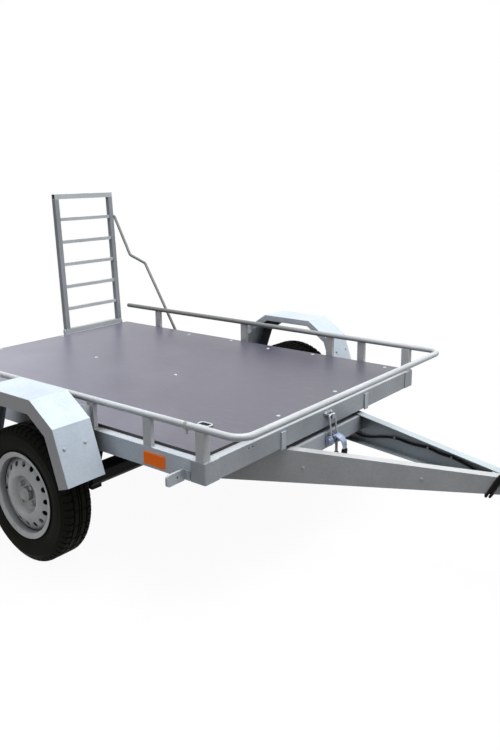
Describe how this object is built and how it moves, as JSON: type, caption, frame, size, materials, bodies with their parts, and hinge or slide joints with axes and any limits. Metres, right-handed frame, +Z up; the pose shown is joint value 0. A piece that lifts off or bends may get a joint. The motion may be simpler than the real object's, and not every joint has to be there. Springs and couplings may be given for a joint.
{
  "type": "flatbed utility trailer",
  "caption": "Flatbed utility trailer with a tilting railed bed on a single axle, folded mudguards, V drawbar, jockey wheel and a hinged ladder ramp.",
  "frame": {"origin": "middle of the bounding box on the ground", "axes": "+X forward to the coupling, +Y to the trailer's left, +Z up"},
  "size_m": [3.3186, 2.072, 1.4497],
  "materials": {
    "galvanised": "hot-dip galvanised, dull bright spangle",
    "deck_board": "film-faced plywood, semi-gloss",
    "axle_black": "black paint",
    "rim_silver": "silver paint",
    "hub_steel": "zinc plated",
    "tyre_black": "rubber",
    "solid_rubber": "rubber",
    "amber_lens": "prismatic reflector",
    "red_lens": "lamp lens",
    "cable_black": "sheathed cable",
    "plug_black": "moulded plastic"
  },
  "bodies": {
    "drawbar": {"drawbar_arm_right": "galvanised", "drawbar_arm_left": "galvanised", "drawbar_crosspiece": "galvanised", "rest_buffers": "solid_rubber", "drawbar_nose": "galvanised", "latch_lever": "galvanised", "coupling_head": "galvanised", "coupling_handle": "galvanised", "jockey_clamp": "galvanised", "jockey_outer_tube": "galvanised", "jockey_crank": "galvanised", "wiring_lead": "cable_black", "plug_holder": "plug_black"},
    "bed": {"side_rail_right": "galvanised", "side_rail_left": "galvanised", "front_crossbeam": "galvanised", "rear_crossbeam": "galvanised", "floor_bearers": "galvanised", "deck": "deck_board", "corner_plates": "galvanised", "rail_tube": "galvanised", "rail_posts_right": "galvanised", "rail_posts_left": "galvanised", "marker_brackets": "galvanised", "side_reflectors": "amber_lens", "mudguard_right": "galvanised", "mudguard_left": "galvanised", "mudguard_brackets": "galvanised", "axle_beam": "axle_black", "axle_brackets": "axle_black", "swing_arms": "axle_black", "pivot_brackets": "galvanised", "latch_striker": "galvanised", "ramp_lugs": "galvanised", "stay_peg": "galvanised", "rear_lamps": "red_lens", "guide_tabs": "galvanised"},
    "wheel_right": {"rim_right": "rim_silver", "tyre_right": "tyre_black", "hub_right": "hub_steel"},
    "wheel_left": {"rim_left": "rim_silver", "tyre_left": "tyre_black", "hub_left": "hub_steel"},
    "ramp": {"ramp_stiles": "galvanised", "ramp_rungs": "galvanised"},
    "stay": {"ramp_stay": "galvanised"},
    "jockey_leg": {"jockey_inner_tube": "galvanised"},
    "jockey_swivel": {"jockey_fork": "galvanised"},
    "jockey_roller": {"jockey_wheel": "solid_rubber"}
  },
  "joints": [
    {"name": "bed_tilt", "type": "hinge", "parent": "drawbar", "child": "bed", "pos_m": [-0.2927, 0, 0.441], "axis": [0, -1, 0], "range_deg": [0, 13]},
    {"name": "wheel_right_spin", "type": "hinge", "parent": "bed", "child": "wheel_right", "pos_m": [-0.2927, -0.926, 0.288], "axis": [0, 1, 0], "continuous": true},
    {"name": "wheel_left_spin", "type": "hinge", "parent": "bed", "child": "wheel_left", "pos_m": [-0.2927, 0.926, 0.288], "axis": [0, 1, 0], "continuous": true},
    {"name": "ramp_fold", "type": "hinge", "parent": "bed", "child": "ramp", "pos_m": [-1.6017, 0.501, 0.59], "axis": [0, -1, 0], "range_deg": [0, 130]},
    {"name": "stay_fold", "type": "hinge", "parent": "ramp", "child": "stay", "pos_m": [-1.63663, 0.743, 1.29413], "axis": [0, 1, 0], "range_deg": [0, 30]},
    {"name": "jockey_height", "type": "slide", "parent": "drawbar", "child": "jockey_leg", "axis": [0, 0, 1], "range_m": [-0.05, 0.15]},
    {"name": "jockey_steer", "type": "hinge", "parent": "jockey_leg", "child": "jockey_swivel", "pos_m": [1.4243, 0.09747, 0.21], "axis": [0, 0, 1], "continuous": true},
    {"name": "jockey_spin", "type": "hinge", "parent": "jockey_swivel", "child": "jockey_roller", "pos_m": [1.4663, 0.09747, 0.1], "axis": [0, 1, 0], "continuous": true}
  ],
  "couplings": [
    {"joint": "stay_fold", "follows": "ramp_fold", "ratio": 0.23054}
  ]
}
